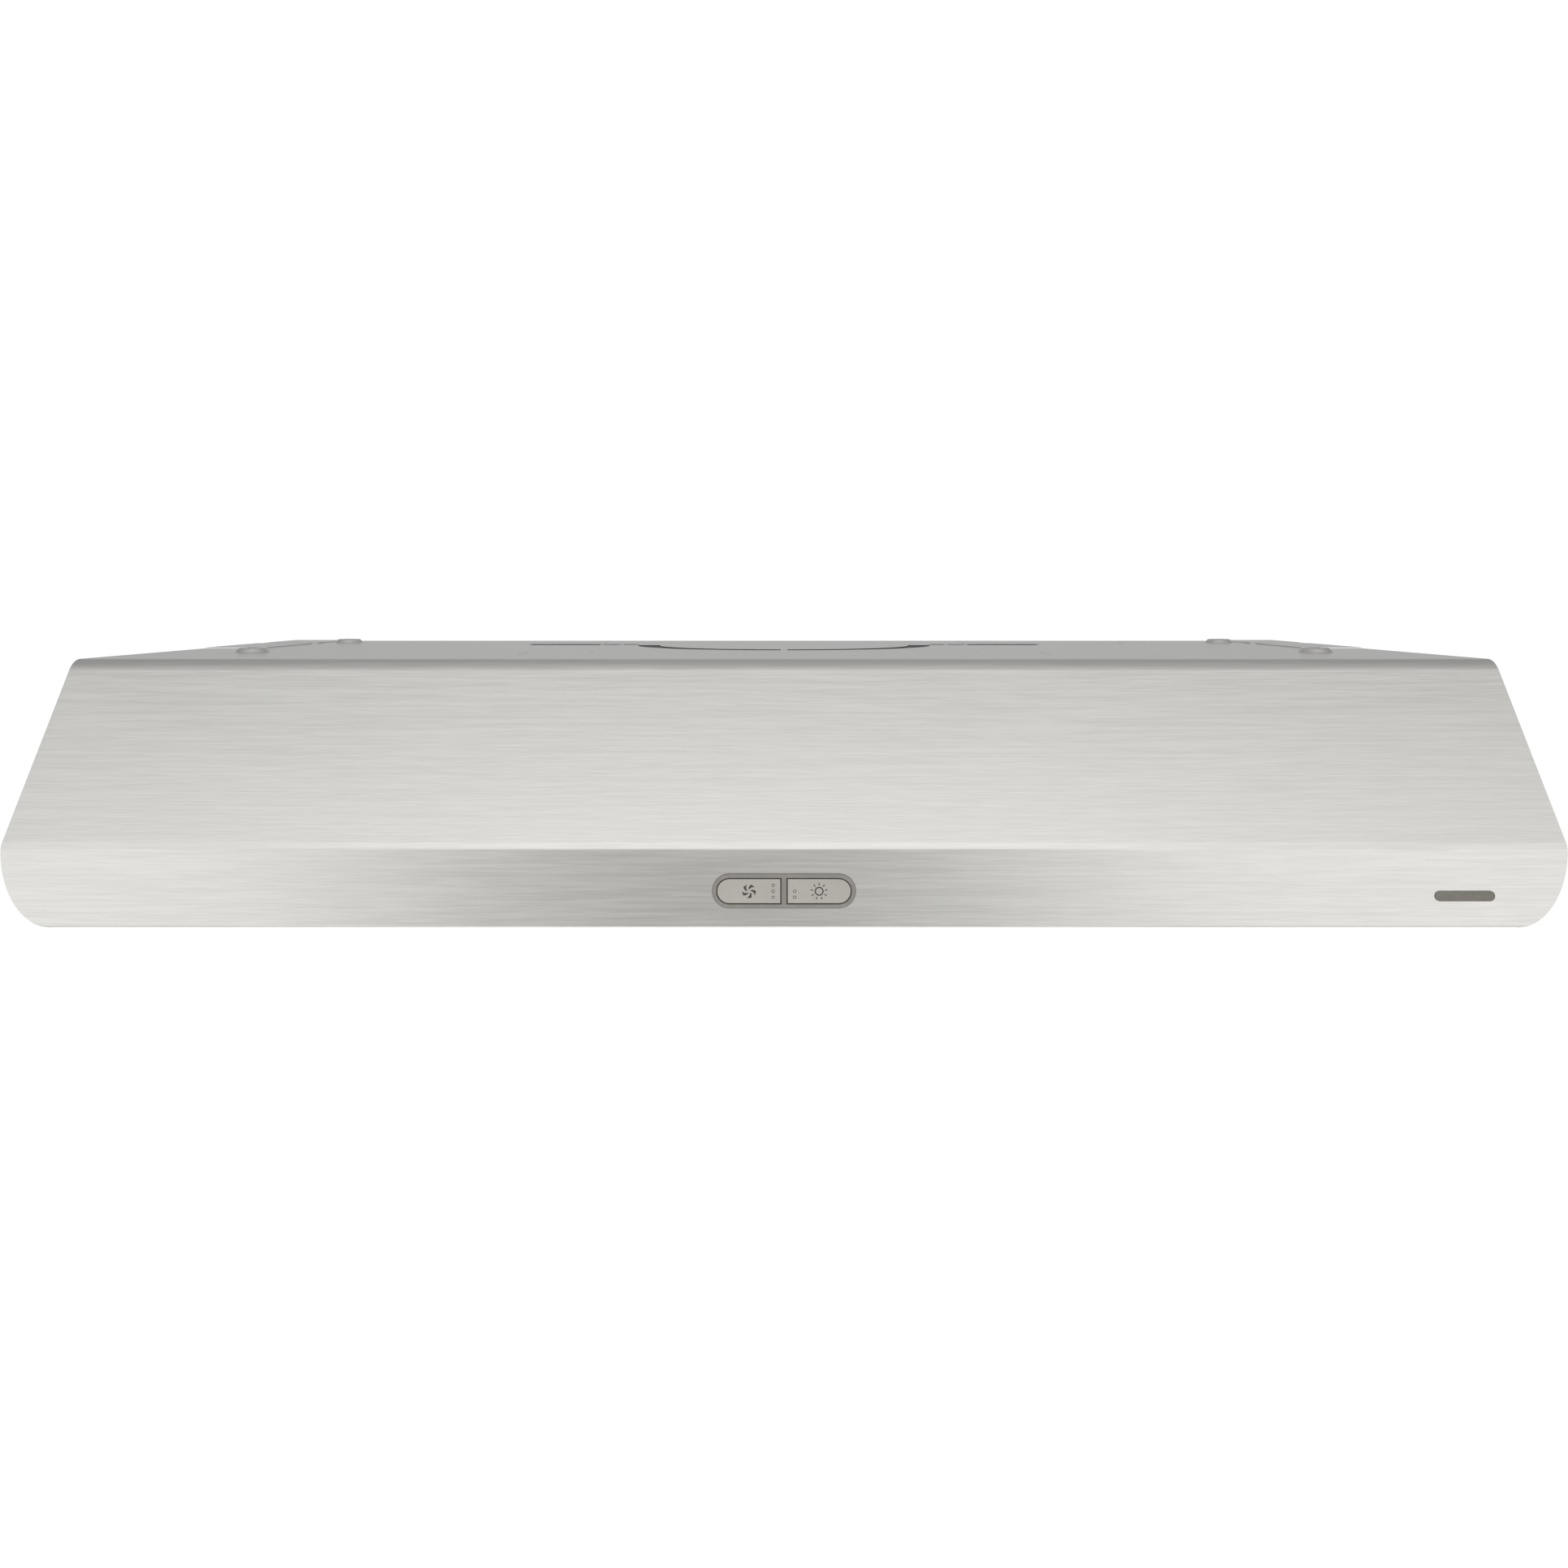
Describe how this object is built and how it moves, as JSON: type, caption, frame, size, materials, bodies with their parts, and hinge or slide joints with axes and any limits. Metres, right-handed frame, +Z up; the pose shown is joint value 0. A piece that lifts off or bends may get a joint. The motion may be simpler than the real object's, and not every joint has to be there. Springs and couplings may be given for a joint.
{
  "type": "under cabinet range hood",
  "caption": "Wide, low stainless range hood with a slanted front, pill-shaped push controls, recessed mesh filters, lamps and a rear duct outlet.",
  "frame": {"origin": "middle of the four cabinet screw holes, on the plane that lies against the cabinet", "axes": "+X across the hood to the right as seen from the front, +Y back to the wall, +Z up to the cabinet"},
  "size_m": [0.911, 0.5444, 0.1555],
  "materials": {
    "stainless": "brushed stainless steel, grain across the hood",
    "pan_steel": "satin stainless steel",
    "galvanised": "galvanised steel sheet",
    "filter_aluminium": "mill-finish aluminium",
    "black_housing": "matt black moulded plastic",
    "wheel_metal": "pressed aluminium",
    "motor_black": "black enamel",
    "motor_copper": "enamelled copper and laminations",
    "plated_steel": "bright zinc plating",
    "spring_steel": "blued spring steel",
    "bezel_grey": "satin dark grey plastic",
    "key_grey": "satin light grey plastic",
    "dot_lens": "dark translucent plastic",
    "badge_grey": "satin grey enamel",
    "lamp_glass": "frosted glass",
    "lamp_trim": "bright nickel plating",
    "socket_white": "white ceramic-filled plastic",
    "board_green": "circuit board",
    "lead_grey": "black cable sheath",
    "bushing_black": "black nylon",
    "connector_red": "red plastic",
    "capacitor_white": "white plastic can"
  },
  "bodies": {
    "hood": {"back_panel": "galvanised", "badge_plate": "badge_grey", "blower_inlet_plate": "black_housing", "blower_screws": "plated_steel", "blower_top_plate": "black_housing", "board_screws": "plated_steel", "bottom_pan": "pan_steel", "button_switches": "motor_black", "cable_bushing": "bushing_black", "canopy_shell": "stainless", "capacitor_strap": "galvanised", "collar_screws": "plated_steel", "control_bezel": "bezel_grey", "control_board": "board_green", "control_housing": "black_housing", "control_lead": "lead_grey", "damper_pin": "plated_steel", "duct_collar": "galvanised", "filter_clips": "spring_steel", "lead_grommet": "bushing_black", "left_end_panel": "stainless", "left_lamp_can": "galvanised", "left_lamp_lead": "lead_grey", "left_lamp_lens": "lamp_glass", "left_lamp_socket": "socket_white", "left_lamp_trim": "lamp_trim", "motor_bearings": "plated_steel", "motor_can": "motor_black", "motor_capacitor": "capacitor_white", "motor_lead": "lead_grey", "motor_lid": "motor_black", "motor_stator": "motor_copper", "right_end_panel": "stainless", "right_lamp_can": "galvanised", "right_lamp_lead": "lead_grey", "right_lamp_lens": "lamp_glass", "right_lamp_socket": "socket_white", "right_lamp_trim": "lamp_trim", "scroll_wall": "black_housing", "sheet_screws": "plated_steel", "wire_connectors": "connector_red", "wiring_box": "galvanised", "wiring_box_cover": "galvanised"},
    "wheel": {"blower_wheel": "wheel_metal", "wheel_nut": "plated_steel", "motor_shaft": "plated_steel", "motor_rotor": "motor_black"},
    "flap": {"damper_flap": "galvanised"},
    "left_filter": {"left_filter_frame": "filter_aluminium", "left_filter_mesh": "filter_aluminium", "left_pull_staple": "plated_steel"},
    "right_filter": {"right_filter_frame": "filter_aluminium", "right_filter_mesh": "filter_aluminium", "right_pull_staple": "plated_steel"},
    "left_ring": {"left_pull_ring": "plated_steel"},
    "right_ring": {"right_pull_ring": "plated_steel"},
    "fan_key": {"fan_button": "key_grey", "fan_level_dots": "dot_lens"},
    "light_key": {"light_button": "key_grey", "light_level_dots": "dot_lens"}
  },
  "joints": [
    {"name": "wheel_spin", "type": "hinge", "parent": "hood", "child": "wheel", "pos_m": [-0.043, -0.0405, -0.0771], "axis": [0, 0, 1], "continuous": true},
    {"name": "damper_swing", "type": "hinge", "parent": "hood", "child": "flap", "pos_m": [0, 0.1765, -0.013], "axis": [1, 0, 0], "range_deg": [0, 80]},
    {"name": "left_filter_drop", "type": "hinge", "parent": "hood", "child": "left_filter", "pos_m": [-0.19025, 0.0875, -0.1347], "axis": [1, 0, 0], "range_deg": [0, 70]},
    {"name": "right_filter_drop", "type": "hinge", "parent": "hood", "child": "right_filter", "pos_m": [0.19025, 0.0875, -0.1347], "axis": [1, 0, 0], "range_deg": [0, 70]},
    {"name": "left_ring_swing", "type": "hinge", "parent": "left_filter", "child": "left_ring", "pos_m": [-0.19025, -0.2115, -0.13805], "axis": [1, 0, 0], "range_deg": [-80, 80]},
    {"name": "right_ring_swing", "type": "hinge", "parent": "right_filter", "child": "right_ring", "pos_m": [0.19025, -0.2115, -0.13805], "axis": [1, 0, 0], "range_deg": [-80, 80]},
    {"name": "fan_button_press", "type": "slide", "parent": "hood", "child": "fan_key", "axis": [0, 1, 0], "range_m": [0, 0.0012], "stiffness_N_per_m": 800},
    {"name": "light_button_press", "type": "slide", "parent": "hood", "child": "light_key", "axis": [0, 1, 0], "range_m": [0, 0.0012], "stiffness_N_per_m": 800}
  ]
}
